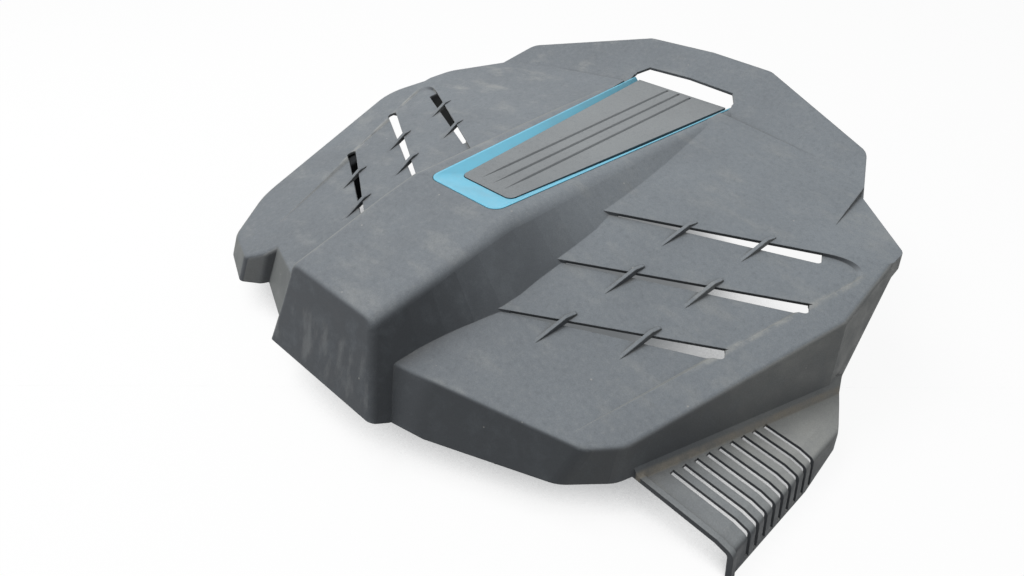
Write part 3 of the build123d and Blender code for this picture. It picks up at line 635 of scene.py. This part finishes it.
class COVER_OT_shade_pad(bpy.types.Operator):
    """Put a black foam pad inside the left wall, under the wing, as painted shade for the left louvres
    """
    bl_idname = "cover.pad"
    bl_label = "Pad"

    def execute(self, context):
        values = context.scene.cover_finish
        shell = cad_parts["cover_shell"]
        corners = [(values.pad_inner, along) for along in values.pad_near]
        for along in reversed(values.pad_far):
            wall = surface(shell, (values.pad_inner, along, PAD_WALL_HEIGHT), (-1.0, 0.0, 0.0))
            corners.append((wall.x + PAD_WALL_GAP, along))
        pad = bmesh.new()
        outline = [surface(shell, (x, y, 0.0), UP) - UP * PAD_GAP for x, y in corners]
        draw_out(pad, outline, UP * -values.pad_depth)
        round_edges(pad, PAD_ROUND, 3)
        piece = make_object(context, "shade_pad", pad, shade_foam_finish(values))
        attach(piece, "root")
        return {"FINISHED"}


class COVER_OT_trim(bpy.types.Operator):
    """Finish the blue trim"""
    bl_idname = "cover.trim"
    bl_label = "Trim"

    def execute(self, context):
        dress("trim_bezel", trim_finish(context.scene.cover_finish))
        return {"FINISHED"}


class COVER_OT_insert(bpy.types.Operator):
    """Finish the grooved centre panel"""
    bl_idname = "cover.insert"
    bl_label = "Centre Panel"

    def execute(self, context):
        dress("centre_insert", insert_finish(context.scene.cover_finish))
        return {"FINISHED"}


class COVER_OT_grommets(bpy.types.Operator):
    """Finish the rubber grommets in the stud sockets"""
    bl_idname = "cover.grommets"
    bl_label = "Grommets"

    def execute(self, context):
        rubber = rubber_finish(context.scene.cover_finish)
        for name in GROMMETS:
            dress(name, rubber)
        return {"FINISHED"}


def seen_rays(tree):
    """1 for the rays that show the stage, straight on or in a gloss, and 0 for those that light."""
    path = tree.nodes.new("ShaderNodeLightPath").outputs
    seen = path["Is Camera Ray"]
    for name in ("Is Glossy Ray", "Is Transmission Ray"):
        node = tree.nodes.new("ShaderNodeMath")
        node.operation = "MAXIMUM"
        tree.links.new(seen, node.inputs[0])
        tree.links.new(path[name], node.inputs[1])
        seen = node.outputs["Value"]
    return seen


def floor_finish(values):
    """Pale, even floor that throws little light back, with a painted shadow under the cover and close
    to it.
    """
    f = Finish("studio_floor", roughness=1.0, specular=0.0)
    # Painted shadow: the floor's glow darkens where the cover is felt nearby, and deeper in an oval
    # under the spine.
    open_floor = f.math("SUBTRACT", 1.0, f.corners(values.shade_reach))
    squares = []
    for axis, middle, half in zip("XY", values.deep_place, values.deep_reach):
        step = f.times(f.math("SUBTRACT", f.part(f.place, axis), middle), 1.0 / half)
        squares.append(f.times(step, step))
    deep = f.ramp(f.math("ADD", *squares), *DEEP_EDGE, DEEP_SHARE, 1.0)
    tone = f.mix(f.times(open_floor, values.shade_fall, deep), values.shade, (1.0, 1.0, 1.0))
    shown = f.blend(values.floor_glow, f.matt(values.floor), f.glow(tone))
    f.link(f.blend(seen_rays(f.tree), f.matt((values.bounce,) * 3), shown), f.surface)
    return f.material


class COVER_OT_stage(bpy.types.Operator):
    """Set up the floor, the light and the camera"""
    bl_idname = "cover.stage"
    bl_label = "Stage"

    def execute(self, context):
        values = context.scene.cover_stage
        self.floor(context, values)
        self.light(context, values)
        self.camera(context, values)
        context.scene.view_settings.view_transform = "Standard"
        return {"FINISHED"}

    def floor(self, context, values):
        sheet = bmesh.new()
        bmesh.ops.create_grid(sheet, x_segments=1, y_segments=1, size=FLOOR_HALF)
        bmesh.ops.translate(sheet, verts=sheet.verts, vec=(0.0, 0.0, CAD_BOX[0][2] - FLOOR_GAP))
        floor = make_object(context, "floor", sheet, floor_finish(values))

    def light(self, context, values):
        world = bpy.data.worlds.new("studio_sky")
        world.use_nodes = True
        tree = world.node_tree
        sky, backdrop = tree.nodes["Background"], tree.nodes.new("ShaderNodeBackground")
        sky.inputs["Color"].default_value = (*values.sky_tone, 1.0)
        sky.inputs["Strength"].default_value = values.sky
        backdrop.inputs["Color"].default_value = (1.0, 1.0, 1.0, 1.0)
        choice = tree.nodes.new("ShaderNodeMixShader")
        tree.links.new(seen_rays(tree), choice.inputs["Fac"])
        tree.links.new(sky.outputs["Background"], choice.inputs[1])
        tree.links.new(backdrop.outputs["Background"], choice.inputs[2])
        tree.links.new(choice.outputs["Shader"], tree.nodes["World Output"].inputs["Surface"])
        context.scene.world = world
        lamp = bpy.data.lights.new("key_lamp", "AREA")
        lamp.energy = values.key
        lamp.size = values.key_size
        spot = Vector(values.key_place)
        holder = bpy.data.objects.new("key_lamp", lamp)
        aim = spot.to_track_quat("Z", "Y").to_matrix().to_4x4()
        holder.matrix_world = Matrix.Translation(spot) @ aim
        context.scene.collection.objects.link(holder)

    def camera(self, context, values):
        camera = bpy.data.cameras.new("camera")
        camera.sensor_width = SENSOR_WIDTH
        camera.lens = SENSOR_WIDTH * IMAGE_FOCAL / IMAGE_WIDTH
        camera.clip_start = NEAR_CLIP
        holder = bpy.data.objects.new("camera", camera)
        tilt = Matrix.Rotation(math.pi / 2 - values.elevation, 4, "X")
        turn = Matrix.Rotation(values.azimuth, 4, "Z")
        holder.matrix_world = Matrix.Translation(values.camera_place) @ turn @ tilt
        context.scene.collection.objects.link(holder)
        context.scene.camera = holder


class COVER_PT_panel(bpy.types.Panel):
    bl_label = "Engine Cover"
    bl_idname = "COVER_PT_panel"
    bl_space_type = "VIEW_3D"
    bl_region_type = "UI"
    bl_category = "Engine Cover"

    def draw(self, context):
        for group in (context.scene.cover_finish, context.scene.cover_stage):
            for name in group.__annotations__:
                self.layout.prop(group, name)
        for operator in OPERATORS:
            self.layout.operator(operator.bl_idname)


OPERATORS = (COVER_OT_shell, COVER_OT_fins, COVER_OT_shade_pad, COVER_OT_trim, COVER_OT_insert,
             COVER_OT_grommets, COVER_OT_stage)
CLASSES = (CoverFinish, CoverStage) + OPERATORS + (COVER_PT_panel,)


def register():
    for cls in CLASSES:
        bpy.utils.register_class(cls)
    bpy.types.Scene.cover_finish = PointerProperty(type=CoverFinish)
    bpy.types.Scene.cover_stage = PointerProperty(type=CoverStage)


def unregister():
    del bpy.types.Scene.cover_stage
    del bpy.types.Scene.cover_finish
    for cls in reversed(CLASSES):
        bpy.utils.unregister_class(cls)


def main():
    register()
    bpy.ops.cover.shell()
    bpy.ops.cover.fins()
    bpy.ops.cover.pad()
    bpy.ops.cover.trim()
    bpy.ops.cover.insert()
    bpy.ops.cover.grommets()
    bpy.ops.cover.stage()


if __name__ == "__main__":
    main()
